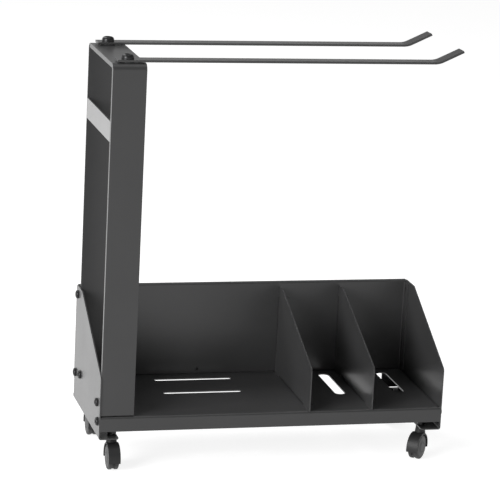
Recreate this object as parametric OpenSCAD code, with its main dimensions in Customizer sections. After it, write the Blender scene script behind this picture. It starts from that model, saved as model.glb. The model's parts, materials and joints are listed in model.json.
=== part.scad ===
// Rolling sheet-steel caddy: a three-bay tray on four twin-wheel casters, with a
// bent-strip arch that carries two flat hanging bars above the tray.
// Millimetres, +Z up, front towards -Y. The origin lies on the floor, midway
// between the side panels and midway between the front and rear casters.

/* [Tray] */
// Width of the tray over the side panels
tray_w = 450; // [400:5:520]
// Depth of the side panels, front to back
tray_d = 180; // [165:1:220]
// Thickness of the tray, panel and divider sheet
sheet_t = 1.5; // [1.2:0.1:2]
// Inside radius of the sheet bends
bend_r = 1.5; // [1:0.25:2.5]
// Height of the tray floor above the lower edge of the side panels
floor_h = 29.5; // [26:0.5:36]
// Height of the lip and of the down-turned sides of the tray
lip_h = 19; // [18:0.5:22]
// Height of the up-turned edge behind the back panel
rear_flange_h = 14; // [13:0.5:20]
// Distance from the rear edge of the side panels to the front of the back panel
back_inset = 5; // [4:0.25:5.25]

/* [Side panels] */
// Height of the side panels and of the back panel
side_h = 154.5; // [140:0.5:180]
// Height of the front edge of a side panel
side_front_h = 81.5; // [60:0.5:110]
// Length of the level part of a side panel's top edge
side_top_d = 38; // [20:1:60]
// Corner radius of the side panels and dividers
panel_corner_r = 5; // [3:0.5:8]
// Width of the flange under a side panel that takes the casters
caster_flange_w = 26; // [25.5:0.25:32]
// Corner radius of that flange
caster_flange_r = 4; // [3:0.5:8]
// Height of the turned-in rear edge below the tray
rear_edge_h = 23.5; // [16:0.5:23.5]
// Depth of the flanges that join the back panel to the side panels
back_flange_d = 13; // [12.5:0.25:13.25]

/* [Dividers] */
// Height of the dividers above the tray floor
divider_h = 118; // [100:1:124]
// Height of the front edge of a divider
divider_front_h = 56; // [40:1:80]
// Length of the level part of a divider's top edge
divider_top_d = 20; // [12:1:50]
// Distance from the right divider to the right side panel's outer face
right_bay_w = 95; // [85:1:120]
// Distance from the left divider to the right divider
divider_pitch = 83; // [74:1:95]
// Width of the flanges that fix a divider
divider_flange_w = 14; // [13:0.5:18]
// Length of the divider's flange on the tray floor
divider_flange_l = 120; // [80:5:130]

/* [Floor slots] */
// Length of the two cross slots in the wide bay
cross_slot_l = 104; // [60:1:130]
// Width of the two cross slots
cross_slot_w = 8; // [6:0.5:12]
// Distance from the left side panel's outer face to the middle of the cross slots
cross_slot_at = 154; // [125:1:180]
// Distance from the back panel to the rear cross slot
cross_slot_inset = 22.5; // [12:0.5:30]
// Distance between the two cross slots
cross_slot_pitch = 57; // [30:1:70]
// Length of the slots in the two narrow bays
bay_slot_l = 92; // [60:1:110]
// Width of the slots in the two narrow bays
bay_slot_w = 14; // [10:0.5:18]
// Distance from the back panel to the middle of these slots
bay_slot_inset = 59.5; // [58:0.5:90]
// Distance from the left divider to the slot behind its right face
left_slot_at = 62.5; // [30:0.5:64]
// Distance from the right divider to the slot behind its right face
right_slot_at = 60; // [30:0.5:64]

/* [Arch] */
// Height of the arch above the tray floor
arch_h = 447.5; // [300:0.5:520]
// Width of the arch strip
arch_w = 42.5; // [36:0.5:60]
// Thickness of the arch strip
arch_t = 2; // [1.5:0.1:3]
// Inside radius of the bends at the top of the arch
arch_bend_r = 6; // [4:0.5:12]
// Inside radius of the bends above the feet
foot_bend_r = 1; // [1:0.25:4]
// Distance from the front of the tray to the front leg
arch_setback = 1.2; // [0.5:0.1:12]
// Distance from the rear edge of the side panels to the rear leg
arch_rear_setback = 18.5; // [18.5:0.1:30]
// Depth of the turned-in edges along the front leg and the top
arch_edge_d = 5.7; // [5:0.1:10]
// Length of the two feet
foot_l = 24; // [20:1:36]
// Height of the two side straps
strap_h = 26; // [20:1:40]
// Thickness of the two side straps
strap_t = 2; // [1.5:0.1:3]
// Distance from the top of the arch to the top of the upper strap
strap_drop = 71.5; // [30:0.5:120]

/* [Hanging bars] */
// Length of a bar, from its square end to its tip, seen from above
bar_l = 441; // [300:1:460]
// Distance from the square end of a bar to its bolt
bar_end_l = 14.5; // [12:0.5:20]
// Width of a bar
bar_w = 20; // [16:0.5:24]
// Thickness of a bar
bar_t = 2.8; // [2:0.1:4]
// Angle of the raised tip
tip_angle = 25; // [10:1:45]
// Length of the straight part of the raised tip
tip_l = 29; // [15:1:45]
// Inside radius of the bend below the tip
tip_bend_r = 25; // [10:1:40]
// Turn of the front bar about its bolt, at rest
front_bar_turn = -0.5; // [-5:0.5:5]
// Thickness of the spacer under a bar
spacer_h = 1; // [0.6:0.1:3]
// Diameter of the spacer
spacer_d = 18; // [16:0.5:24]
// Distance from a face of the arch to the bar's bolt
bolt_inset = 16.8; // [15:0.1:24]

/* [Fasteners] */
// Diameter of the bolts that carry the bars
bar_bolt_d = 8; // [6:0.5:8]
// Head diameter of those bolts
bar_head_d = 15.5; // [14:0.5:18]
// Head height of those bolts
bar_head_h = 6; // [3:0.1:7]
// Diameter of the panel screws
screw_d = 5; // [4:0.5:5]
// Head diameter of the panel screws
screw_head_d = 11; // [8:0.5:12]
// Head height of the panel screws
screw_head_h = 3.4; // [2:0.1:4.6]
// Diameter of the divider screws
small_screw_d = 4; // [3:0.5:4]
// Head diameter of the divider screws
small_head_d = 8; // [7:0.5:9]
// Head height of the divider screws
small_head_h = 2.4; // [1.8:0.1:3]
// Extra diameter of a clearance hole
hole_clearance = 0.5; // [0.3:0.1:0.8]

/* [Casters] */
// Height from the floor to the caster flange
caster_h = 42.5; // [42:0.5:54]
// Diameter of the wheels
wheel_d = 32; // [28:1:34]
// Thickness of one wheel
wheel_t = 5.7; // [5:0.1:7]
// Thickness of the web between the two wheels
web_t = 3; // [2.6:0.1:4]
// Distance from the swivel axis to the wheel axle
trail = 7.5; // [5:0.5:10]
// Diameter of the caster stems
stem_d = 6; // [5:0.5:6]
// Diameter of the wheel axles
axle_d = 4; // [3:0.5:5]
// Diameter of the neck of a housing
neck_d = 12; // [10:0.5:13]
// Diameter of the cone below the neck
cone_d = 15; // [13:0.5:18]
// Thickness of the hood over the wheels
hood_t = 2; // [1.2:0.1:2.4]
// Distance from the outer face of a side panel to the caster stem
stem_inset = 20.5; // [19:0.5:21]
// Distance from the front or rear edge of a side panel to the caster stem
stem_setback = 20; // [18:0.5:30]

/* [Hidden] */
$fn = 48;

steel = [0.23, 0.23, 0.24];
dark_steel = [0.13, 0.13, 0.14];
nylon = [0.27, 0.27, 0.28];

// Clearances between pieces
fit = 0.05;        // radial running or location clearance of a pin
play = 0.1;        // axial clearance of a turning piece
wheel_gap = 0.4;   // clearance between a wheel and its housing
cut = 1;           // how far a cutter runs past a face

// Levels, from the floor up
panel_z = caster_h;
floor_z = panel_z + floor_h;
tray_under_z = floor_z - sheet_t;
lip_z = floor_z - lip_h;
panel_top_z = panel_z + side_h;
arch_top_z = floor_z + arch_h;
bar_z = arch_top_z + spacer_h + play;

// Faces of the tray
side_x = tray_w / 2;
inner_x = side_x - sheet_t;
front_y = -tray_d / 2;
rear_y = tray_d / 2;
back_y = rear_y - back_inset;
bend_out = bend_r + sheet_t;
right_divider_x = side_x - right_bay_w;
left_divider_x = right_divider_x - divider_pitch;

// Arch
arch_x = -inner_x;
arch_mid_x = arch_x + arch_w / 2;
arch_front_y = front_y + arch_setback;
arch_rear_y = rear_y - arch_rear_setback;
arch_d = arch_rear_y - arch_front_y;
foot_screw_pitch = arch_w - 2 * screw_head_d;
foot_reach = foot_l - screw_head_d / 2 - 2;
bar_y = [arch_front_y + bolt_inset, arch_rear_y - bolt_inset];
bar_nut_d = 15;
bar_nut_h = 6.5;
bolt_tail = 2.5;

// Screw places on the side panels: [depth, height over the panel's lower edge]
back_screw_y = back_y - bend_out - hole_clearance - screw_d / 2;
back_screw_places = [
    [back_screw_y, side_h - screw_head_d],
    [back_screw_y, floor_h + bend_out + screw_head_d / 2]
];
lip_screw_place = [front_y + screw_head_d, floor_h - bend_out - screw_d];
strap_screw_z = floor_h + arch_t + strap_h / 2;
strap_screw_places = [
    [arch_front_y + bolt_inset, strap_screw_z],
    [arch_rear_y - 1.5 * bolt_inset, strap_screw_z]
];
common_places = concat(back_screw_places, [lip_screw_place]);

// Screws that join the tray's rear edge to the back panel
rear_screw_x = [for (i = [-1.5, -0.5, 0.5, 1.5]) i * (tray_w - 90) / 3];
rear_screw_z = floor_z + (rear_flange_h - sheet_t + bend_r) / 2;

// Nuts, and the length of a screw through two sheets and a nut
small_nut_d = 7;
small_nut_h = 2.2;
small_screw_l = 2 * sheet_t + small_nut_h + 0.8;
nut_d = 9.2;
nut_h = 4;

// Divider screw places
floor_screw_y = [-divider_flange_l / 2 + 15, divider_flange_l / 2 - 15];
tab_z = floor_z + 30;
tab_h = divider_h - 45;
tab_screw_z = [tab_z + 12, tab_z + tab_h - 12];
flange_screw_x = sheet_t + (divider_flange_w - sheet_t) / 2;

// Casters
axle_z = wheel_d / 2;
wheel_x = web_t / 2 + wheel_gap;
hood_r = wheel_d / 2 + wheel_gap + hood_t;
stem_x = side_x - stem_inset;
stem_y = rear_y - stem_setback;
stem_collar_h = 1.5;
stem_depth = 9.5;
caster_nut_h = 5;
caster_nut_d = 11.5;
neck_sink = 4;
web_r = wheel_d / 2 - 1;

// ---------- Profiles ----------

// Rectangle with round corners, its lower left corner at the origin
module rounded_rect(w, h, r) {
    translate([r, 0]) square([w - 2 * r, h]);
    translate([0, r]) square([w, h - 2 * r]);
    for (x = [r, w - r], y = [r, h - r])
        translate([x, y]) circle(r);
}

// Sheet bent once: outer corner at the origin, legs a along X and b along Y
module angle_profile(a, b, t, r) {
    difference() {
        rounded_rect(3 * a, 3 * b, r + t);
        translate([t, t]) rounded_rect(3 * a, 3 * b, r);
        translate([a, -cut]) square([3 * a, 4 * b]);
        translate([-cut, b]) square([4 * a, 3 * b]);
    }
}

// Sheet bent twice: web w along X from the origin, both legs h along Y
module channel_profile(w, h, t, r) {
    difference() {
        rounded_rect(w, 3 * h, r + t);
        translate([t, t]) rounded_rect(w - 2 * t, 3 * h, r);
        translate([-cut, h]) square([w + 2 * cut, 3 * h]);
    }
}

// What is cut away to round a right corner at the origin off to radius r
module corner_waste(r) {
    difference() {
        translate([-cut, -cut]) square(r + cut);
        translate([r, r]) circle(r);
    }
}

// Slot with round ends, centred, along X
module slot_outline(l, w) {
    square([l - w, w], center = true);
    for (x = [-1, 1] * (l - w) / 2)
        translate([x, 0]) circle(d = w);
}

// Points of an arc about a centre, between two angles
function arc_points(centre, r, from, to, steps = 10) =
    [for (i = [0:steps])
        let (k = from + (to - from) * i / steps)
        centre + r * [cos(k), sin(k)]];

// Points of the round that replaces the corner b between a and c
function corner_points(a, b, c, r, steps = 6) =
    let (
        u = (a - b) / norm(a - b),
        v = (c - b) / norm(c - b),
        half = acos(u * v) / 2,
        centre = b + (u + v) / norm(u + v) * r / sin(half),
        from = b + u * r / tan(half) - centre,
        to = b + v * r / tan(half) - centre,
        sweep = 180 - 2 * half,
        turn = sign(from.x * to.y - from.y * to.x)
    )
    [for (i = [0:steps])
        let (k = turn * sweep * i / steps)
        centre + [from.x * cos(k) - from.y * sin(k), from.x * sin(k) + from.y * cos(k)]];

// Panel outline: level rear part, slanted edge and low front edge, with round corners.
// X is the depth, Y the height above the panel's lower edge.
module panel_outline(y0, y1, h, front_h, top_d, r) {
    front_top = [y0, front_h];
    slant_top = [y1 - top_d, h];
    rear_top = [y1, h];
    polygon(concat(
        [[y1, 0], [y0, 0]],
        corner_points([y0, 0], front_top, slant_top, r),
        corner_points(front_top, slant_top, rear_top, r),
        corner_points(slant_top, rear_top, [y1, 0], r)
    ));
}

// Turns an XY outline into a solid that stands in the YZ plane, its thickness along +X
module stand_x(t) {
    rotate([90, 0, 90]) linear_extrude(t) children();
}

// Turns an XY outline into a solid that stands in the XZ plane, its thickness along -Y
module stand_y(t) {
    rotate([90, 0, 0]) linear_extrude(t) children();
}

// ---------- Fasteners ----------

// Button-head screw: the head's seat is at the origin, the head above it, the shank below
module button_screw(d, head_d, head_h, l) {
    dome_h = head_h * 2 / 3;
    dome_r = (head_d * head_d / 4 + dome_h * dome_h) / (2 * dome_h);
    difference() {
        union() {
            intersection() {
                cylinder(d = head_d, h = head_h + cut);
                translate([0, 0, head_h - dome_r]) sphere(dome_r);
            }
            translate([0, 0, -l]) cylinder(d = d, h = l);
        }
        translate([0, 0, head_h / 2]) cylinder(d = head_d * 0.3, h = head_h, $fn = 6);
    }
}

// Round clinch nut or hexagon nut (sides = 6) standing on the origin
module nut(d, bore_d, h, sides = 48) {
    difference() {
        cylinder(d = d, h = h, $fn = sides);
        translate([0, 0, -cut]) cylinder(d = bore_d + 2 * fit, h = h + 2 * cut, $fn = 48);
    }
}

// Hole for a screw of diameter d, centred on the origin, along Z
module clearance_hole(d, l = 20) {
    cylinder(d = d + hole_clearance, h = l, center = true);
}

// Puts its children on a side panel's outer face; side is -1 for left, 1 for right.
// The children's +Z points outwards.
module on_side(side, place, depth = 0) {
    translate([side * (side_x - depth), place.x, panel_z + place.y])
        rotate([0, side * 90, 0]) children();
}

// ---------- Tray, panels and dividers ----------

// Floor with a lip and sides turned down, and a rear edge turned up behind the back panel
module base_tray() {
    floor_d = back_y + 2 * sheet_t - front_y;
    side_end_y = back_y - bend_out;
    side_l = side_end_y - front_y - 2 * bend_out;
    color(steel)
    difference() {
        union() {
            difference() {
                translate([-inner_x, front_y, floor_z]) stand_x(2 * inner_x)
                    tray_profile(floor_d);
                for (side = [-1, 1])
                    translate([side * inner_x, side_end_y - (side_l + bend_out) / 2, floor_z])
                        cube([2 * bend_out, side_l + bend_out, 4 * bend_out], center = true);
            }
            translate([-inner_x, side_end_y, floor_z]) stand_y(side_l)
                mirror([0, 1]) channel_profile(2 * inner_x, lip_h, sheet_t, bend_r);
        }
        floor_slots();
        for (side = [-1, 1])
            on_side(side, lip_screw_place) clearance_hole(screw_d);
        rear_screw_places() clearance_hole(small_screw_d);
        for (x = [left_divider_x, right_divider_x], y = floor_screw_y)
            translate([x + flange_screw_x, y, floor_z]) clearance_hole(small_screw_d);
        foot_screw_places() clearance_hole(screw_d);
    }
}

// Section of the tray, front to back: its lip, floor and rear edge
module tray_profile(floor_d) {
    mirror([0, 1]) angle_profile(floor_d / 2, lip_h, sheet_t, bend_r);
    translate([floor_d, -sheet_t]) mirror([1, 0])
        angle_profile(0.6 * floor_d, rear_flange_h, sheet_t, bend_r);
}

// Puts its children on the rear screws, their +Z pointing backwards from the back panel
module rear_screw_places() {
    for (x = rear_screw_x)
        translate([x, back_y, rear_screw_z]) rotate([-90, 0, 0]) children();
}

module floor_slots() {
    cross_y = back_y - cross_slot_inset;
    translate([0, 0, tray_under_z - cut]) linear_extrude(sheet_t + 2 * cut) {
        for (y = [cross_y, cross_y - cross_slot_pitch])
            translate([cross_slot_at - side_x, y]) slot_outline(cross_slot_l, cross_slot_w);
        for (x = [left_divider_x + left_slot_at, right_divider_x + right_slot_at])
            translate([x, back_y - bay_slot_inset]) rotate(90)
                slot_outline(bay_slot_l, bay_slot_w);
    }
}

// Panel with two forward side flanges and a top edge that turns back
module back_panel() {
    web_z = floor_z + bend_r + play;
    web_top_z = panel_top_z - bend_out;
    color(steel)
    difference() {
        union() {
            translate([-inner_x, back_y + sheet_t, web_z]) linear_extrude(web_top_z - web_z)
                mirror([0, 1])
                channel_profile(2 * inner_x, back_flange_d + sheet_t, sheet_t, bend_r);
            translate([-inner_x, back_y, panel_top_z]) stand_x(2 * inner_x) mirror([0, 1])
                angle_profile(back_inset, bend_out + cut, sheet_t, bend_r);
        }
        for (side = [-1, 1], place = back_screw_places)
            on_side(side, place) clearance_hole(screw_d);
        rear_screw_places() clearance_hole(small_screw_d);
        for (x = [left_divider_x, right_divider_x], z = tab_screw_z)
            translate([x + flange_screw_x, back_y, z])
                rotate([90, 0, 0]) clearance_hole(small_screw_d);
    }
}

// Side panel on the right; the left one is its mirror image
module side_panel(places) {
    color(steel)
    difference() {
        union() {
            translate([inner_x, 0, panel_z + bend_out]) stand_x(sheet_t)
                difference() {
                    panel_outline(front_y, rear_y, side_h - bend_out,
                                  side_front_h - bend_out, side_top_d, panel_corner_r);
                    // Clear of the bend of the rear edge
                    translate([rear_y - bend_out, -cut])
                        square([bend_out + cut, rear_edge_h + sheet_t / 2 + cut]);
                }
            translate([side_x, rear_y, panel_z]) stand_y(tray_d) mirror([1, 0])
                angle_profile(caster_flange_w, 2 * bend_out, sheet_t, bend_r);
            translate([side_x, rear_y, panel_z + bend_out]) linear_extrude(rear_edge_h)
                rotate(180) angle_profile(caster_flange_w, 2 * bend_out, sheet_t, bend_r);
        }
        for (place = places)
            on_side(1, place) clearance_hole(screw_d);
        for (end = [-1, 1]) {
            translate([stem_x, end * stem_y, panel_z]) clearance_hole(stem_d);
            translate([side_x - caster_flange_w, end * rear_y, panel_z - cut])
                linear_extrude(sheet_t + 2 * cut) mirror([0, end == 1 ? 1 : 0])
                corner_waste(caster_flange_r);
        }
    }
}

module left_side_panel() {
    mirror([1, 0, 0]) side_panel(concat(common_places, strap_screw_places));
}

module right_side_panel() {
    side_panel(common_places);
}

// Divider with its left face at x, a flange on the floor and a tab on the back panel
module divider(x) {
    relief = 1;
    color(steel)
    translate([x, 0, 0])
    difference() {
        union() {
            translate([0, 0, floor_z]) stand_x(sheet_t)
                difference() {
                    panel_outline(front_y, back_y, divider_h, divider_front_h,
                                  divider_top_d, panel_corner_r);
                    // Clear of the two bends
                    translate([-divider_flange_l / 2 - relief, -cut])
                        square([divider_flange_l + 2 * relief, bend_out + cut]);
                    translate([back_y - bend_out, tab_z - floor_z - relief])
                        square([bend_out + cut, tab_h + 2 * relief]);
                }
            translate([0, divider_flange_l / 2, floor_z]) stand_y(divider_flange_l)
                angle_profile(divider_flange_w, 2 * bend_out, sheet_t, bend_r);
            translate([0, back_y, tab_z]) linear_extrude(tab_h) mirror([0, 1])
                angle_profile(divider_flange_w, 2 * bend_out, sheet_t, bend_r);
        }
        for (y = floor_screw_y)
            translate([flange_screw_x, y, floor_z]) clearance_hole(small_screw_d);
        for (z = tab_screw_z)
            translate([flange_screw_x, back_y, z])
                rotate([90, 0, 0]) clearance_hole(small_screw_d);
    }
}

module left_divider() { divider(left_divider_x); }

module right_divider() { divider(right_divider_x); }

// ---------- Arch and straps ----------

// Side view of the strip: legs, top and two feet, X being the depth
module arch_outline(inset) {
    w = arch_d - 2 * inset;
    h = arch_h - 2 * inset;
    translate([inset, inset])
        rounded_rect(w, 0.6 * h, max(foot_bend_r + arch_t - inset, 1));
    translate([inset, inset + 0.4 * h])
        rounded_rect(w, 0.6 * h, max(arch_bend_r + arch_t - inset, 1));
}

module arch() {
    color(steel)
    difference() {
        union() {
            translate([arch_x, arch_front_y, floor_z]) stand_x(arch_w)
                difference() {
                    arch_outline(0);
                    arch_outline(arch_t);
                    translate([foot_l, -cut]) square([arch_d - 2 * foot_l, arch_t + 2 * cut]);
                }
            // Turned-in edges of the front leg and the top
            for (x = [arch_x, arch_x + arch_w - arch_t])
                translate([x, arch_front_y, floor_z]) stand_x(arch_t)
                    difference() {
                        arch_outline(0);
                        arch_outline(arch_edge_d);
                        translate([-cut, -cut])
                            square([arch_d + 2 * cut, arch_t + arch_bend_r + 2 * cut]);
                        translate([arch_d - arch_t - arch_bend_r, -cut])
                            square([arch_d, arch_h + 2 * cut]);
                    }
        }
        foot_screw_places() clearance_hole(screw_d);
        for (y = bar_y)
            translate([arch_mid_x, y, arch_top_z]) clearance_hole(bar_bolt_d);
    }
}

// Puts its children on the four screw places of the feet, at the floor's top
module foot_screw_places() {
    for (x = [-1, 1] * foot_screw_pitch / 2,
         y = [arch_front_y + foot_reach, arch_rear_y - foot_reach])
        translate([arch_mid_x + x, y, floor_z]) children();
}

// Strap inside the arch, from the turned-in edge of the front leg to the rear leg
module strap(z) {
    translate([arch_x, arch_front_y + arch_edge_d, z])
        cube([strap_t, arch_d - arch_edge_d - arch_t, strap_h]);
}

module upper_strap() {
    color(steel) strap(arch_top_z - strap_drop - strap_h);
}

// It stands on the feet and takes two of the left side panel's screws
module lower_strap() {
    color(steel)
    difference() {
        strap(floor_z + arch_t);
        for (place = strap_screw_places)
            on_side(-1, place) clearance_hole(screw_d);
    }
}

// ---------- Hanging bars ----------

// Side view of a bar: X is the length from its square end, Y the height above its lower face
module bar_outline() {
    outer_r = tip_bend_r + bar_t;
    bend = [bar_l - outer_r * sin(tip_angle) - tip_l * cos(tip_angle), outer_r];
    tip = bend + tip_l * [cos(tip_angle), sin(tip_angle)];
    down = [sin(tip_angle), -cos(tip_angle)];
    polygon(concat(
        [[0, bar_t], [0, 0]],
        arc_points(bend, outer_r, -90, tip_angle - 90),
        [tip + outer_r * down, tip + tip_bend_r * down],
        arc_points(bend, tip_bend_r, tip_angle - 90, -90)
    ));
}

module bar(y, turn) {
    color(dark_steel)
    translate([arch_mid_x, y, bar_z]) rotate(turn)
        difference() {
            translate([-bar_end_l, bar_w / 2, 0]) stand_y(bar_w) bar_outline();
            cylinder(d = bar_bolt_d + 2 * fit, h = 20, center = true);
        }
}

module front_bar() { bar(bar_y[0], front_bar_turn); }

module rear_bar() { bar(bar_y[1], 0); }

module bar_spacers() {
    color(nylon)
    for (y = bar_y)
        translate([arch_mid_x, y, arch_top_z]) nut(spacer_d, bar_bolt_d, spacer_h);
}

module bar_bolts() {
    color(dark_steel)
    for (y = bar_y)
        translate([arch_mid_x, y, bar_z + bar_t + play])
            button_screw(bar_bolt_d, bar_head_d, bar_head_h,
                         bar_t + 2 * play + spacer_h + arch_t + bar_nut_h + bolt_tail);
}

module bar_nuts() {
    color(dark_steel)
    for (y = bar_y)
        translate([arch_mid_x, y, arch_top_z - arch_t - bar_nut_h])
            nut(bar_nut_d, bar_bolt_d, bar_nut_h, 6);
}

// ---------- Panel fasteners ----------

// The side screws end flush with the inner face of the sheet they are driven into
module side_screws(side, places, stack) {
    for (place = places)
        on_side(side, place) button_screw(screw_d, screw_head_d, screw_head_h, stack);
}

module left_side_screws() {
    color(dark_steel) {
        side_screws(-1, common_places, 2 * sheet_t);
        side_screws(-1, strap_screw_places, sheet_t + strap_t);
    }
}

module right_side_screws() {
    color(dark_steel) side_screws(1, common_places, 2 * sheet_t);
}

module back_screws() {
    color(dark_steel)
    rear_screw_places() translate([0, 0, 2 * sheet_t])
        button_screw(small_screw_d, small_head_d, small_head_h, 2 * sheet_t);
}

module divider_screws() {
    color(dark_steel)
    for (x = [left_divider_x, right_divider_x]) {
        for (y = floor_screw_y)
            translate([x + flange_screw_x, y, tray_under_z]) rotate([180, 0, 0])
                button_screw(small_screw_d, small_head_d, small_head_h, small_screw_l);
        for (z = tab_screw_z)
            translate([x + flange_screw_x, back_y + sheet_t, z]) rotate([-90, 0, 0])
                button_screw(small_screw_d, small_head_d, small_head_h, small_screw_l);
    }
}

module divider_nuts() {
    color(dark_steel)
    for (x = [left_divider_x, right_divider_x]) {
        for (y = floor_screw_y)
            translate([x + flange_screw_x, y, floor_z + sheet_t])
                nut(small_nut_d, small_screw_d, small_nut_h);
        for (z = tab_screw_z)
            translate([x + flange_screw_x, back_y - sheet_t, z]) rotate([90, 0, 0])
                nut(small_nut_d, small_screw_d, small_nut_h);
    }
}

module foot_screws() {
    color(dark_steel)
    foot_screw_places() translate([0, 0, arch_t])
        button_screw(screw_d, screw_head_d, screw_head_h, arch_t + sheet_t + nut_h + 1);
}

module foot_nuts() {
    color(dark_steel)
    foot_screw_places() translate([0, 0, -sheet_t - nut_h]) nut(nut_d, screw_d, nut_h, 6);
}

// ---------- Casters ----------

// Corner of a caster: side is -1 for left and 1 for right, end is -1 for front and 1 for rear.
// Children are drawn with the swivel axis through the origin and the floor at z = 0.
module at_corner(side, end) {
    translate([side * stem_x, end * stem_y, 0]) children();
}

// Stem: threaded above the flange, with a collar below it and a pin in the housing
module caster_stem() {
    color(dark_steel) {
        translate([0, 0, caster_h - stem_collar_h]) cylinder(d = neck_d, h = stem_collar_h);
        translate([0, 0, caster_h - stem_depth])
            cylinder(d = stem_d, h = stem_depth + sheet_t + caster_nut_h + 1);
    }
}

// Housing: a neck on a cone, a web between the wheels and a hood over their upper half
module caster_housing() {
    neck_top = caster_h - stem_collar_h - play;
    neck_z = wheel_d - neck_sink;
    cone_z = wheel_d - neck_sink / 2;
    hood_w = 2 * (wheel_x + wheel_t);
    color(nylon)
    difference() {
        union() {
            translate([0, 0, neck_z]) cylinder(d = neck_d, h = neck_top - neck_z);
            translate([0, 0, cone_z])
                cylinder(d1 = cone_d, d2 = neck_d, h = neck_top - 1 - cone_z);
            about_axle() cylinder(r = web_r, h = web_t, center = true);
            difference() {
                about_axle() cylinder(r = hood_r, h = hood_w, center = true);
                // The hood ends below the axle
                translate([0, trail, axle_z - wheel_d - 4])
                    cube([2 * hood_w, 4 * wheel_d, 2 * wheel_d], center = true);
            }
        }
        for (x = [-1, 1] * (hood_w + web_t) / 2)
            translate([x, 0, 0]) about_axle()
                cylinder(r = wheel_d / 2 + wheel_gap, h = hood_w, center = true);
        about_axle() cylinder(d = axle_d + 2 * fit, h = 2 * hood_w, center = true);
        translate([0, 0, caster_h - stem_depth - play])
            cylinder(d = stem_d + 2 * fit, h = stem_depth);
    }
}

// Turns its children's +Z into +X and puts them on the wheel axle
module about_axle() {
    translate([0, trail, axle_z]) rotate([0, 90, 0]) children();
}

module caster_axle() {
    color(dark_steel)
    about_axle() cylinder(d = axle_d, h = 2 * (wheel_x + wheel_t) - 2, center = true);
}

// Wheel on the +X side of the web, with a domed face and a recessed inner side
module caster_wheel() {
    r = wheel_d / 2;
    color(nylon)
    about_axle() translate([0, 0, wheel_x])
    difference() {
        rotate_extrude() polygon([
            [0, 0],
            [4, 0],
            [4, 1],
            [r - 3, 1],
            [r - 3, 0],
            [r - 0.6, 0],
            [r, 0.6],
            [r, wheel_t - 2.2],
            [r - 0.8, wheel_t - 1.2],
            [r - 3, wheel_t - 0.5],
            [r / 2, wheel_t],
            [0, wheel_t]
        ]);
        translate([0, 0, -cut]) cylinder(d = axle_d + 2 * fit, h = wheel_t - 1 + cut + play);
    }
}

// Swivel angle at rest of each caster; at 0 the wheels trail towards the rear
front_left_turn = 180;
front_right_turn = 140;
rear_left_turn = 180;
rear_right_turn = 0;

module swivelled(side, end, turn) {
    at_corner(side, end) rotate([0, 0, turn]) children();
}

module front_left_stem() { at_corner(-1, -1) caster_stem(); }
module front_left_housing() { swivelled(-1, -1, front_left_turn) caster_housing(); }
module front_left_axle() { swivelled(-1, -1, front_left_turn) caster_axle(); }
module front_left_outer_wheel() { swivelled(-1, -1, front_left_turn) caster_wheel(); }
module front_left_inner_wheel() {
    swivelled(-1, -1, front_left_turn) mirror([1, 0, 0]) caster_wheel();
}

module front_right_stem() { at_corner(1, -1) caster_stem(); }
module front_right_housing() { swivelled(1, -1, front_right_turn) caster_housing(); }
module front_right_axle() { swivelled(1, -1, front_right_turn) caster_axle(); }
module front_right_outer_wheel() {
    swivelled(1, -1, front_right_turn) mirror([1, 0, 0]) caster_wheel();
}
module front_right_inner_wheel() { swivelled(1, -1, front_right_turn) caster_wheel(); }

module rear_left_stem() { at_corner(-1, 1) caster_stem(); }
module rear_left_housing() { swivelled(-1, 1, rear_left_turn) caster_housing(); }
module rear_left_axle() { swivelled(-1, 1, rear_left_turn) caster_axle(); }
module rear_left_outer_wheel() {
    swivelled(-1, 1, rear_left_turn) mirror([1, 0, 0]) caster_wheel();
}
module rear_left_inner_wheel() { swivelled(-1, 1, rear_left_turn) caster_wheel(); }

module rear_right_stem() { at_corner(1, 1) caster_stem(); }
module rear_right_housing() { swivelled(1, 1, rear_right_turn) caster_housing(); }
module rear_right_axle() { swivelled(1, 1, rear_right_turn) caster_axle(); }
module rear_right_outer_wheel() { swivelled(1, 1, rear_right_turn) caster_wheel(); }
module rear_right_inner_wheel() {
    swivelled(1, 1, rear_right_turn) mirror([1, 0, 0]) caster_wheel();
}

module caster_nuts() {
    color(dark_steel)
    for (side = [-1, 1], end = [-1, 1])
        at_corner(side, end) translate([0, 0, caster_h + sheet_t]) rotate(30)
            nut(caster_nut_d, stem_d, caster_nut_h, 6);
}

base_tray();
back_panel();
left_side_panel();
right_side_panel();
left_divider();
right_divider();
arch();
upper_strap();
lower_strap();
front_bar();
rear_bar();
bar_spacers();
bar_bolts();
bar_nuts();
left_side_screws();
right_side_screws();
back_screws();
divider_screws();
divider_nuts();
foot_screws();
foot_nuts();
caster_nuts();
front_left_stem();
front_left_housing();
front_left_axle();
front_left_outer_wheel();
front_left_inner_wheel();
front_right_stem();
front_right_housing();
front_right_axle();
front_right_outer_wheel();
front_right_inner_wheel();
rear_left_stem();
rear_left_housing();
rear_left_axle();
rear_left_outer_wheel();
rear_left_inner_wheel();
rear_right_stem();
rear_right_housing();
rear_right_axle();
rear_right_outer_wheel();
rear_right_inner_wheel();
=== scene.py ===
import json
import math

import bmesh
import bpy
from mathutils import Matrix, Vector


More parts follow.
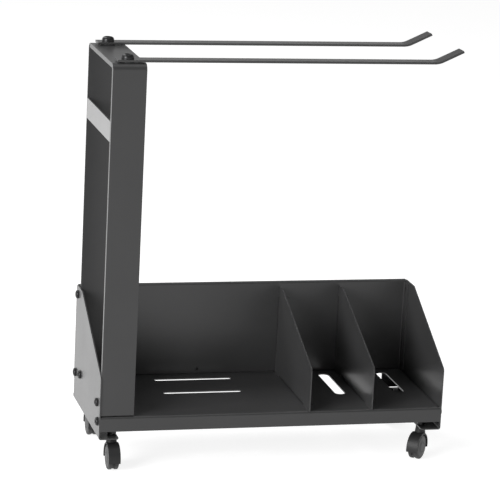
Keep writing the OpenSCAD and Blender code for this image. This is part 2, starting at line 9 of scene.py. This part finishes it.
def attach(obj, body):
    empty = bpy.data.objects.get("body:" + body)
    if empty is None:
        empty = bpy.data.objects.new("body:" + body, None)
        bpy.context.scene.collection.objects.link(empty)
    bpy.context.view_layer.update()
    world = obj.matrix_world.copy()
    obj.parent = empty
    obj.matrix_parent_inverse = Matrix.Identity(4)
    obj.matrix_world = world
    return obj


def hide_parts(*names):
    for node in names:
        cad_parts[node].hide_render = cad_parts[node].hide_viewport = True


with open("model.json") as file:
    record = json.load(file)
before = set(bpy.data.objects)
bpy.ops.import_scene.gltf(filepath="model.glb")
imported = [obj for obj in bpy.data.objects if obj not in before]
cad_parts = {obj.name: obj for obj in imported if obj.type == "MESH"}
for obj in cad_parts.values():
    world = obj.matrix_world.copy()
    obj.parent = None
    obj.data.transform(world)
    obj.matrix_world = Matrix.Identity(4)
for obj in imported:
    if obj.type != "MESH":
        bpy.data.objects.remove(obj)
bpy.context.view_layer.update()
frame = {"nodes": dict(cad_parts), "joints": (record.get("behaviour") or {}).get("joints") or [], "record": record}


# ---------------------------------------------------------------------------
# Camera: a long lens in front of the caddy, a little to its left and above it,
# rolled slightly to the right.
# ---------------------------------------------------------------------------
camera_data = bpy.data.cameras.new("camera")
camera_data.sensor_width = 36
camera_data.lens = 182.764
camera_data.clip_end = 50
camera = bpy.data.objects.new("camera", camera_data)
camera.location = (-0.82348, -3.05980, 1.05032)
camera.rotation_euler = [math.radians(a) for a in (76.00595, -2.80370, -14.05057)]
bpy.context.scene.collection.objects.link(camera)
bpy.context.scene.camera = camera
bpy.context.scene.view_settings.view_transform = "Standard"


# ---------------------------------------------------------------------------
# Studio: a white floor that keeps a soft shadow, a white surround that lights
# the caddy only weakly, and soft lamps at the left, behind and above.
# ---------------------------------------------------------------------------
def seen_or_reflected(tree):
    """1 for camera, glossy and transmission rays, 0 for the rays that light the scene."""
    rays = tree.nodes.new("ShaderNodeLightPath")
    total = rays.outputs["Is Camera Ray"]
    for name in ("Is Glossy Ray", "Is Transmission Ray"):
        add = tree.nodes.new("ShaderNodeMath")
        add.operation = "MAXIMUM"
        tree.links.new(total, add.inputs[0])
        tree.links.new(rays.outputs[name], add.inputs[1])
        total = add.outputs[0]
    return total


def studio_world(light, low, high, fades_by):
    """Even light, and reflections that fade from low, at the horizon, to high above it."""
    world = bpy.data.worlds.new("surround")
    world.use_nodes = True
    bpy.context.scene.world = world
    tree = world.node_tree
    background = tree.nodes["Background"]
    background.inputs["Color"].default_value = (1, 1, 1, 1)
    direction = tree.nodes.new("ShaderNodeTexCoord")
    split = tree.nodes.new("ShaderNodeSeparateXYZ")
    tree.links.new(direction.outputs["Generated"], split.inputs[0])
    fade = tree.nodes.new("ShaderNodeMapRange")
    fade.interpolation_type = "SMOOTHSTEP"
    fade.inputs["From Max"].default_value = fades_by
    fade.inputs["To Min"].default_value = low
    fade.inputs["To Max"].default_value = high
    tree.links.new(split.outputs["Z"], fade.inputs["Value"])
    strength = tree.nodes.new("ShaderNodeMapRange")
    strength.inputs["To Min"].default_value = light
    tree.links.new(seen_or_reflected(tree), strength.inputs["Value"])
    tree.links.new(fade.outputs[0], strength.inputs["To Max"])
    tree.links.new(strength.outputs[0], background.inputs["Strength"])


def studio_floor(size, grey, glow):
    """A plain floor: grey sets how much light it returns, glow how white it looks."""
    mesh = bpy.data.meshes.new("floor")
    bm = bmesh.new()
    bmesh.ops.create_grid(bm, x_segments=1, y_segments=1, size=size)
    bm.to_mesh(mesh)
    bm.free()
    floor = bpy.data.objects.new("floor", mesh)
    bpy.context.scene.collection.objects.link(floor)
    material = bpy.data.materials.new("pale_floor")
    material.use_nodes = True
    tree = material.node_tree
    tree.nodes.clear()
    output = tree.nodes.new("ShaderNodeOutputMaterial")
    diffuse = tree.nodes.new("ShaderNodeBsdfDiffuse")
    diffuse.inputs["Color"].default_value = (grey, grey, grey, 1)
    emission = tree.nodes.new("ShaderNodeEmission")
    strength = tree.nodes.new("ShaderNodeMath")
    strength.operation = "MULTIPLY"
    strength.inputs[1].default_value = glow
    tree.links.new(seen_or_reflected(tree), strength.inputs[0])
    tree.links.new(strength.outputs[0], emission.inputs["Strength"])
    add = tree.nodes.new("ShaderNodeAddShader")
    tree.links.new(diffuse.outputs[0], add.inputs[0])
    tree.links.new(emission.outputs[0], add.inputs[1])
    tree.links.new(add.outputs[0], output.inputs["Surface"])
    mesh.materials.append(material)


def soft_lamp(name, place, aim, size, power):
    """A square lamp of a size in metres and a power in watts, turned to its aim."""
    data = bpy.data.lights.new(name, "AREA")
    data.shape = "SQUARE"
    data.size = size
    data.energy = power
    lamp = bpy.data.objects.new(name, data)
    lamp.location = place
    lamp.rotation_euler = (Vector(aim) - Vector(place)).to_track_quat("-Z", "Y").to_euler()
    bpy.context.scene.collection.objects.link(lamp)


studio_world(light=0.2, low=1.0, high=0.25, fades_by=0.25)
studio_floor(size=6.0, grey=0.4, glow=0.85)
soft_lamp("left_lamp", (-2.6, -1.6, 1.3), (0, 0, 0.2), 1.6, 112)
soft_lamp("rear_lamp", (-1.2, 1.8, 2.6), (0, 0, 0.2), 1.2, 45)
soft_lamp("top_lamp", (0.2, -0.4, 3.0), (0, 0, 0.1), 2.0, 10)


# ---------------------------------------------------------------------------
# Base tray: one sheet of steel with its lip and sides folded down and its rear
# edge folded up, slots punched in its floor, and a dark satin powder coat.
# ---------------------------------------------------------------------------
def node_group(name, inputs, outputs):
    """A shader node group with float or vector sockets, and its two end nodes."""
    tree = bpy.data.node_groups.new(name, "ShaderNodeTree")
    for socket, kind, value in inputs:
        made = tree.interface.new_socket(socket, in_out="INPUT", socket_type="NodeSocket" + kind)
        if value is not None:
            made.default_value = value
    for socket, kind in outputs:
        tree.interface.new_socket(socket, in_out="OUTPUT", socket_type="NodeSocket" + kind)
    return tree, tree.nodes.new("NodeGroupInput"), tree.nodes.new("NodeGroupOutput")


def grain_group():
    """Orange peel and fine texture of a coat or a moulding, and a slow change of tone."""
    tree, given, result = node_group(
        "surface grain",
        [("Place", "Vector", None), ("Peel size", "Float", 0.0012), ("Fine size", "Float", 0.0003),
         ("Tone size", "Float", 0.05)],
        [("Height", "Float"), ("Tone", "Float")])
    made = {}
    layers = (("peel", "Peel size", 1.5), ("fine", "Fine size", 2.0), ("tone", "Tone size", 3.0))
    for part, size, detail in layers:
        inverse = tree.nodes.new("ShaderNodeMath")
        inverse.operation = "DIVIDE"
        inverse.inputs[0].default_value = 1
        tree.links.new(given.outputs[size], inverse.inputs[1])
        noise = tree.nodes.new("ShaderNodeTexNoise")
        noise.inputs["Detail"].default_value = detail
        tree.links.new(given.outputs["Place"], noise.inputs["Vector"])
        tree.links.new(inverse.outputs[0], noise.inputs["Scale"])
        made[part] = noise.outputs["Fac"]
    mix = tree.nodes.new("ShaderNodeMix")
    mix.inputs["Factor"].default_value = 0.4
    tree.links.new(made["peel"], mix.inputs["A"])
    tree.links.new(made["fine"], mix.inputs["B"])
    tree.links.new(mix.outputs["Result"], result.inputs["Height"])
    tree.links.new(made["tone"], result.inputs["Tone"])
    return tree


def edge_wear_and_highlight_group():
    """Mask of the outer edges, where a coat draws thin; the lighter colour there is partly a painted highlight."""
    tree, given, result = node_group(
        "edge wear and painted highlight",
        [("Place", "Vector", None), ("Width", "Float", 0.0008), ("Break up", "Float", 0.4)],
        [("Mask", "Float")])
    rounded = tree.nodes.new("ShaderNodeBevel")
    rounded.samples = 4
    tree.links.new(given.outputs["Width"], rounded.inputs["Radius"])
    surface = tree.nodes.new("ShaderNodeNewGeometry")
    dot = tree.nodes.new("ShaderNodeVectorMath")
    dot.operation = "DOT_PRODUCT"
    tree.links.new(rounded.outputs[0], dot.inputs[0])
    tree.links.new(surface.outputs["Normal"], dot.inputs[1])
    spread = tree.nodes.new("ShaderNodeMapRange")
    spread.inputs["From Min"].default_value = 0.98
    spread.inputs["From Max"].default_value = 0.80
    tree.links.new(dot.outputs["Value"], spread.inputs["Value"])
    noise = tree.nodes.new("ShaderNodeTexNoise")
    noise.inputs["Scale"].default_value = 120
    tree.links.new(given.outputs["Place"], noise.inputs["Vector"])
    broken = tree.nodes.new("ShaderNodeMath")
    broken.operation = "MULTIPLY"
    tree.links.new(noise.outputs["Fac"], broken.inputs[0])
    tree.links.new(given.outputs["Break up"], broken.inputs[1])
    less = tree.nodes.new("ShaderNodeMath")
    less.operation = "SUBTRACT"
    less.use_clamp = True
    tree.links.new(spread.outputs[0], less.inputs[0])
    tree.links.new(broken.outputs[0], less.inputs[1])
    tree.links.new(less.outputs[0], result.inputs["Mask"])
    return tree


GRAIN = grain_group()
EDGE_WEAR_AND_HIGHLIGHT = edge_wear_and_highlight_group()


def place_group(tree, group, place, values):
    """A shared group in a material, with its place linked and its other values set."""
    node = tree.nodes.new("ShaderNodeGroup")
    node.node_tree = group
    tree.links.new(place, node.inputs["Place"])
    for name, value in values.items():
        node.inputs[name].default_value = value
    return node


def finish_material(name, colour, edge_wear_and_highlight_colour, roughness, rough_spread, peel, peel_height,
                    edge_width=0.0008, metallic=0.0, coat=0.0, coat_roughness=0.25,
                    specular=0.5, tone_spread=0.12):
    """A painted, plated or moulded finish: grain in its relief, tone and gloss, lighter edges that are partly thin
    coat and partly a painted highlight.
    """
    material = bpy.data.materials.new(name)
    material.use_nodes = True
    tree = material.node_tree
    shader = tree.nodes["Principled BSDF"]
    shader.inputs["Metallic"].default_value = metallic
    shader.inputs["Specular IOR Level"].default_value = specular
    shader.inputs["Coat Weight"].default_value = coat
    shader.inputs["Coat Roughness"].default_value = coat_roughness
    place = tree.nodes.new("ShaderNodeTexCoord").outputs["Object"]
    grain = place_group(tree, GRAIN, place, {"Peel size": peel, "Fine size": peel / 4})
    edge = place_group(tree, EDGE_WEAR_AND_HIGHLIGHT, place, {"Width": edge_width})

    tone = tree.nodes.new("ShaderNodeMix")
    tone.data_type = "RGBA"
    tone.inputs["A"].default_value = [c * (1 - tone_spread) for c in colour] + [1]
    tone.inputs["B"].default_value = [c * (1 + tone_spread) for c in colour] + [1]
    tree.links.new(grain.outputs["Tone"], tone.inputs["Factor"])
    # Edges lighter in colour: a thinner coat, and partly a painted highlight along them.
    rubbed_and_highlit = tree.nodes.new("ShaderNodeMix")
    rubbed_and_highlit.data_type = "RGBA"
    rubbed_and_highlit.inputs["B"].default_value = list(edge_wear_and_highlight_colour) + [1]
    tree.links.new(edge.outputs["Mask"], rubbed_and_highlit.inputs["Factor"])
    tree.links.new(tone.outputs["Result"], rubbed_and_highlit.inputs["A"])
    tree.links.new(rubbed_and_highlit.outputs["Result"], shader.inputs["Base Color"])

    gloss = tree.nodes.new("ShaderNodeMapRange")
    gloss.inputs["To Min"].default_value = roughness - rough_spread
    gloss.inputs["To Max"].default_value = roughness + rough_spread
    tree.links.new(grain.outputs["Tone"], gloss.inputs["Value"])
    tree.links.new(gloss.outputs[0], shader.inputs["Roughness"])

    bump = tree.nodes.new("ShaderNodeBump")
    bump.inputs["Strength"].default_value = 0.6
    bump.inputs["Distance"].default_value = peel_height
    tree.links.new(grain.outputs["Height"], bump.inputs["Height"])
    tree.links.new(bump.outputs[0], shader.inputs["Normal"])
    return material


COAT = finish_material("powder_coat", (0.038, 0.038, 0.0385), (0.055, 0.055, 0.056),
                       roughness=0.36, rough_spread=0.05, peel=0.0014, peel_height=0.00005,
                       coat=0.4, specular=0.3)

BODY = {node: body
        for body, nodes in frame["record"]["behaviour"]["bodies"].items() for node in nodes}


def stand_for(node, mesh, material):
    """An object made of mesh, which rides with a node's body and stands for the node."""
    mesh.materials.clear()
    mesh.materials.append(material)
    piece = bpy.data.objects.new(mesh.name, mesh)
    bpy.context.scene.collection.objects.link(piece)
    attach(piece, BODY[node])
    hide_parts(node)
    return piece


def merged(node):
    """The mesh of a node with its corners merged and its flat faces whole."""
    bm = bmesh.new()
    bm.from_mesh(frame["nodes"][node].data)
    bmesh.ops.remove_doubles(bm, verts=bm.verts, dist=0.000002)
    bmesh.ops.dissolve_limit(bm, angle_limit=math.radians(0.5), verts=bm.verts, edges=bm.edges)
    bmesh.ops.recalc_face_normals(bm, faces=bm.faces)
    return bm


def dress(node, material, edge=0.00025):
    """A node's own shape with its edges eased, as sheet is after it has been coated."""
    mesh = bpy.data.meshes.new(node + "_dressed")
    bm = merged(node)
    for face in bm.faces:
        face.smooth = True
    bm.to_mesh(mesh)
    bm.free()
    piece = stand_for(node, mesh, material)
    eased = piece.modifiers.new("eased", "BEVEL")
    eased.width = edge
    eased.segments = 2
    eased.limit_method = "ANGLE"
    eased.angle_limit = math.radians(35)
    flat = piece.modifiers.new("flat_faces", "WEIGHTED_NORMAL")
    flat.weight = 100
    flat.keep_sharp = True


dress("base_tray", COAT)


# ---------------------------------------------------------------------------
# Back panel and side panels: sheet of the same gauge and coat. The back panel
# is screwed to both sides, and each side carries its casters on a bottom flange.
# ---------------------------------------------------------------------------
for node in ("back_panel", "left_side_panel", "right_side_panel"):
    dress(node, COAT)


# ---------------------------------------------------------------------------
# Dividers: slant-topped sheets that split off the two narrow bays, each folded
# to a flange on the floor and a tab on the back panel.
# ---------------------------------------------------------------------------
for node in ("left_divider", "right_divider"):
    dress(node, COAT)


# ---------------------------------------------------------------------------
# Arch: a wide steel strip bent to two legs with its edges turned in, and two
# flat straps welded across the inside of its left edge. The upper one wears the same coat painted lighter and
# glossier, a painted sheen.
# ---------------------------------------------------------------------------
# The upper strap's finish is the powder coat painted lighter and glossier: a painted sheen for the light it
# catches, not a different paint.
STRAP_PAINTED_SHEEN = finish_material("strap_coat_painted_sheen", (0.065, 0.065, 0.0655), (0.09, 0.09, 0.091),
                        roughness=0.34, rough_spread=0.05, peel=0.0014, peel_height=0.00004,
                        coat=0.8, specular=0.5)

dress("arch", COAT)
dress("upper_strap", STRAP_PAINTED_SHEEN)
dress("lower_strap", COAT)


# ---------------------------------------------------------------------------
# Hanging bars: two flat bars with raised tips, each on a thin washer and held
# down by one black screw, with a nut under the top of the arch.
# ---------------------------------------------------------------------------
BLACK = finish_material("black_steel", (0.022, 0.022, 0.023), (0.07, 0.07, 0.072),
                        roughness=0.36, rough_spread=0.08, peel=0.0006, peel_height=0.00002,
                        edge_width=0.0004, metallic=0.6)
WASHER = finish_material("washer_nylon", (0.020, 0.020, 0.021), (0.04, 0.04, 0.041),
                         roughness=0.55, rough_spread=0.05, peel=0.0008, peel_height=0.00003)
MM = 0.001
FULL_TURN = 2 * math.pi
UP, DOWN = (0, 0, 1), (0, 0, -1)


def hexagon(across):
    """Radius of a hexagon, by angle, from its width across flats."""
    return lambda angle: across / 2 / math.cos(angle % (math.pi / 3) - math.pi / 6)


def clipped(shape, radius):
    """A shape's radius by angle, held to a largest radius."""
    return lambda angle: min(shape(angle), radius)


def turned(bm, place, rings, closed=False, segments=48):
    """Rings of points about +Z, in millimetres, joined in their order and put at place.

    A ring is its radius and its height. The radius is a number, or a function of the angle.
    """
    rows = []
    for radius, height in rings:
        row = []
        for i in range(segments):
            angle = FULL_TURN * i / segments
            r = radius(angle) if callable(radius) else radius
            row.append(bm.verts.new(
                place @ (Vector((r * math.cos(angle), r * math.sin(angle), height)) * MM)))
        rows.append(row)
    pairs = list(zip(rows, rows[1:]))
    if closed:
        pairs.append((rows[-1], rows[0]))
    for low, high in pairs:
        for i in range(segments):
            j = (i + 1) % segments
            bm.faces.new((low[i], low[j], high[j], high[i]))
    if not closed:
        bm.faces.new(rows[0])
        bm.faces.new(rows[-1])


def thread_rings(d, pitch, start, end, steps=6):
    """Rings of a thread of diameter d between two heights, start to end, with a blunt tip."""
    depth = 0.6 * pitch

    def ring(height):
        def radius(angle):
            turn = (height / pitch - angle / FULL_TURN) % 1
            return d / 2 - depth * abs(2 * turn - 1)
        return radius
    count = round(abs(end - start) / pitch * steps)
    rings = []
    for i in range(count):
        height = start + (end - start) * i / count
        tip = max(0, 1 - (count - i) / steps)
        rings.append((clipped(ring(height), d / 2 - 0.5 * pitch * tip), height))
    rings.append((d / 2 - 0.7 * pitch, end))
    return rings


def screw_rings(head_d, head_h, d, length, pitch, plain):
    """A button-head screw, its seat at height 0: hexagon socket, dome, shank and thread."""
    socket = 0.42 * head_d
    flat_r = socket * 0.62
    rim = head_h / 3
    broken, fillet, tip, dome_steps = 0.25, 0.2, 0.3, 8
    rings = [(hexagon(socket * 0.98), head_h * 0.42), (hexagon(socket), head_h * 0.5),
             (hexagon(socket), head_h * 0.92), (hexagon(socket * 1.06), head_h * 0.97)]
    for i in range(dome_steps + 1):
        angle = math.pi / 2 * i / dome_steps
        rings.append((flat_r + (head_d / 2 - flat_r) * math.sin(angle),
                      rim + (head_h - rim) * math.cos(angle)))
    rings += [(head_d / 2, broken), (head_d / 2 - broken, 0),
              (d / 2 + fillet, 0), (d / 2, -fillet)]
    if plain < length:
        rings.append((d / 2, -plain))
        rings += thread_rings(d, pitch, -plain - pitch / 6, -length)
    else:
        rings += [(d / 2, tip - length), (d / 2 - tip, -length)]
    return rings


def nut_rings(across, h, bore_d, chamfer=0.9):
    """A hexagon nut that stands at height 0, its corners chamfered at both ends.

    The chamfer widens by slope for each millimetre of height, which makes it 30 degrees.
    """
    side = hexagon(across)
    face_r = 0.475 * across
    slope = 1.73
    heights = (0, chamfer / 3, chamfer * 2 / 3, chamfer)
    lower = [(clipped(side, face_r + slope * z), z) for z in heights]
    upper = [(radius, h - z) for radius, z in reversed(lower)]
    lead = 0.4
    return ([(bore_d / 2 + lead, 0)] + lower + upper
            + [(bore_d / 2 + lead, h), (bore_d / 2, h - lead), (bore_d / 2, lead)])


def solids(node):
    """The lowest and highest corners of each separate solid in a node, in its mesh's order."""
    bm = merged(node)
    seen = set()
    found = []
    for start in bm.verts:
        if start in seen:
            continue
        seen.add(start)
        reached = [start]
        for vert in reached:
            for edge in vert.link_edges:
                other = edge.other_vert(vert)
                if other not in seen:
                    seen.add(other)
                    reached.append(other)
        found.append([Vector([pick(v.co[i] for v in reached) for i in range(3)])
                      for pick in (min, max)])
    bm.free()
    return found


def facing(direction):
    """Turns +Z towards direction."""
    return Vector(direction).to_track_quat("Z", "Y").to_matrix().to_4x4()


def ends(node, direction):
    """Places at the far end of each solid that lies along direction, and the solids' lengths."""
    along = Vector(direction)
    found = []
    for low, high in solids(node):
        spans = list((high - low) / MM)
        axis = min(range(3), key=lambda i: abs(spans[i - 1] - spans[i - 2]))
        if direction[axis]:
            point = (low + high) / 2 + along * spans[axis] * MM / 2
            found.append((Matrix.Translation(point) @ facing(direction), spans[axis]))
    return found


def lifted(rings, by):
    """The same rings, moved along their axis."""
    return [(radius, height + by) for radius, height in rings]


def fasteners(node, material, pieces):
    """One object for a node's fasteners. A piece is its place, its rings, closed or not."""
    bm = bmesh.new()
    for place, rings, closed in pieces:
        turned(bm, place, rings, closed)
    bmesh.ops.recalc_face_normals(bm, faces=bm.faces)
    for face in bm.faces:
        face.smooth = True
    mesh = bpy.data.meshes.new(node + "_turned")
    bm.to_mesh(mesh)
    bm.free()
    mesh.set_sharp_from_angle(angle=math.radians(38))
    stand_for(node, mesh, material)


def screws(node, direction, head_d, head_h, d, pitch, plain):
    """The pieces of button-head screws whose heads lie along direction."""
    return [(place,
             lifted(screw_rings(head_d, head_h, d, span - head_h, pitch, plain), -head_h), False)
            for place, span in ends(node, direction)]


def nuts(node, direction, across, bore_d, turn=0):
    """The pieces of hexagon nuts along direction, each turned about its bore."""
    return [(place @ Matrix.Rotation(math.radians(turn), 4, "Z"),
             lifted(nut_rings(across, span, bore_d), -span), True)
            for place, span in ends(node, direction)]


for node in ("front_bar", "rear_bar"):
    dress(node, COAT)
dress("bar_spacers", WASHER, 0.0002)
fasteners("bar_bolts", BLACK,
          screws("bar_bolts", UP, head_d=15.5, head_h=6, d=8, pitch=1.25, plain=3.5))
fasteners("bar_nuts", BLACK, nuts("bar_nuts", DOWN, across=13, bore_d=8.1))


# ---------------------------------------------------------------------------
# Screws: black button-head screws in the sides and the feet of the arch, smaller
# ones in the rear edge and the dividers, and black nuts on the screws that pass
# through and on the stems of the casters.
# ---------------------------------------------------------------------------
LARGE = {"head_d": 11, "head_h": 3.4, "d": 5, "pitch": 0.8}
SMALL = {"head_d": 8, "head_h": 2.4, "d": 4, "pitch": 0.7}
LEFT, RIGHT, BACK = (-1, 0, 0), (1, 0, 0), (0, 1, 0)

fasteners("left_side_screws", BLACK, screws("left_side_screws", LEFT, plain=9, **LARGE))
fasteners("right_side_screws", BLACK, screws("right_side_screws", RIGHT, plain=9, **LARGE))
fasteners("back_screws", BLACK, screws("back_screws", BACK, plain=9, **SMALL))
fasteners("divider_screws", BLACK,
          screws("divider_screws", DOWN, plain=3, **SMALL)
          + screws("divider_screws", BACK, plain=3, **SMALL))


def round_nut_rings(h):
    """A round nut for the small screws, its edges broken inside and out."""
    return [(2.3, 0), (3.2, 0), (3.5, 0.3), (3.5, h - 0.3), (3.2, h), (2.3, h),
            (2.05, h - 0.25), (2.05, 0.25)]


fasteners("divider_nuts", BLACK,
          [(place, lifted(round_nut_rings(span), -span), True)
           for direction in (UP, BACK) for place, span in ends("divider_nuts", direction)])
fasteners("foot_screws", BLACK, screws("foot_screws", UP, plain=3.5, **LARGE))
fasteners("foot_nuts", BLACK, nuts("foot_nuts", DOWN, across=8, bore_d=5.1))
fasteners("caster_nuts", BLACK, nuts("caster_nuts", DOWN, across=10, bore_d=6.1, turn=30))


# ---------------------------------------------------------------------------
# Casters: a threaded steel stem in a moulded nylon housing, and two moulded
# wheels with a softer tread on a steel axle. The wheels are slightly scuffed.
# ---------------------------------------------------------------------------
NYLON = finish_material("housing_nylon", (0.018, 0.018, 0.0184), (0.036, 0.036, 0.037),
                        roughness=0.52, rough_spread=0.06, peel=0.0007, peel_height=0.00004,
                        edge_width=0.0006, specular=0.35)
WHEEL = finish_material("wheel_nylon", (0.028, 0.028, 0.0285), (0.05, 0.05, 0.051),
                        roughness=0.45, rough_spread=0.08, peel=0.0007, peel_height=0.00003,
                        edge_width=0.0006)
TREAD = finish_material("wheel_tread", (0.026, 0.026, 0.027), (0.05, 0.05, 0.051),
                        roughness=0.62, rough_spread=0.08, peel=0.0005, peel_height=0.00006,
                        edge_width=0.0006)

# From the threaded end down: the thread through flange and nut, the collar, the running pin
STEM_RINGS = (list(reversed(thread_rings(6, 1, -5.8, 0)))
              + [(3, -6), (3, -7.5), (5.8, -7.5), (6, -7.7), (6, -8.8), (5.8, -9), (3, -9),
                 (3, -16.6), (2.6, -17)])

# From the axle bore out along the inner side, over the tread, and in across the outer face
HUB_RINGS = [(1.5, 4.8), (2.05, 4.8), (2.05, 0.3), (2.35, 0), (3.8, 0), (4, 0.2), (4, 1),
             (12.8, 1), (13, 0.8), (13, 0)]
TYRE_RINGS = [(15.4, 0), (15.8, 0.2), (16, 0.6), (16, 1.1), (15.8, 1.2), (15.8, 1.45),
              (16, 1.55), (16, 2.2), (15.8, 2.3), (15.8, 2.55), (16, 2.65), (16, 3.4),
              (15.8, 4), (15.2, 4.45), (14.4, 4.8), (14.1, 4.8), (13.9, 4.4)]
FACE_RINGS = [(13.6, 4.4), (13.4, 4.95), (12.6, 5.1), (10.5, 5.15), (8.4, 5.3), (7.4, 5.6),
              (7, 5.6), (6.8, 5.2), (6.4, 5.2), (6.2, 5.55), (5, 5.68), (1.5, 5.7)]
TYRE_FROM = 13.85


def wheel(node):
    """A spun wheel about its own axle joint, its outer face away from the housing."""
    joint = [j for j in frame["joints"] if j["child"] == BODY[node]][0]
    centre, axis = Vector(joint["pos_m"]), Vector(joint["axis"]).normalized()
    along = [(v.co - centre).dot(axis) for v in frame["nodes"][node].data.vertices]
    if sum(along) < 0:
        axis, along = -axis, [-a for a in along]
    place = Matrix.Translation(centre + axis * min(along)) @ facing(axis)
    bm = bmesh.new()
    turned(bm, place, HUB_RINGS + TYRE_RINGS + FACE_RINGS, segments=96)
    bmesh.ops.recalc_face_normals(bm, faces=bm.faces)
    back = place.inverted()
    for face in bm.faces:
        face.smooth = True
        rim = min((back @ v.co).xy.length for v in face.verts)
        face.material_index = 1 if rim > TYRE_FROM * MM else 0
    mesh = bpy.data.meshes.new(node + "_turned")
    bm.to_mesh(mesh)
    bm.free()
    mesh.set_sharp_from_angle(angle=math.radians(50))
    stand_for(node, mesh, WHEEL)
    mesh.materials.append(TREAD)


for corner in ("front_left", "front_right", "rear_left", "rear_right"):
    fasteners(corner + "_stem", BLACK,
              [(place, STEM_RINGS, False) for place, _ in ends(corner + "_stem", UP)])
    dress(corner + "_housing", NYLON, 0.0003)
    dress(corner + "_axle", BLACK, 0.0002)
    wheel(corner + "_outer_wheel")
    wheel(corner + "_inner_wheel")
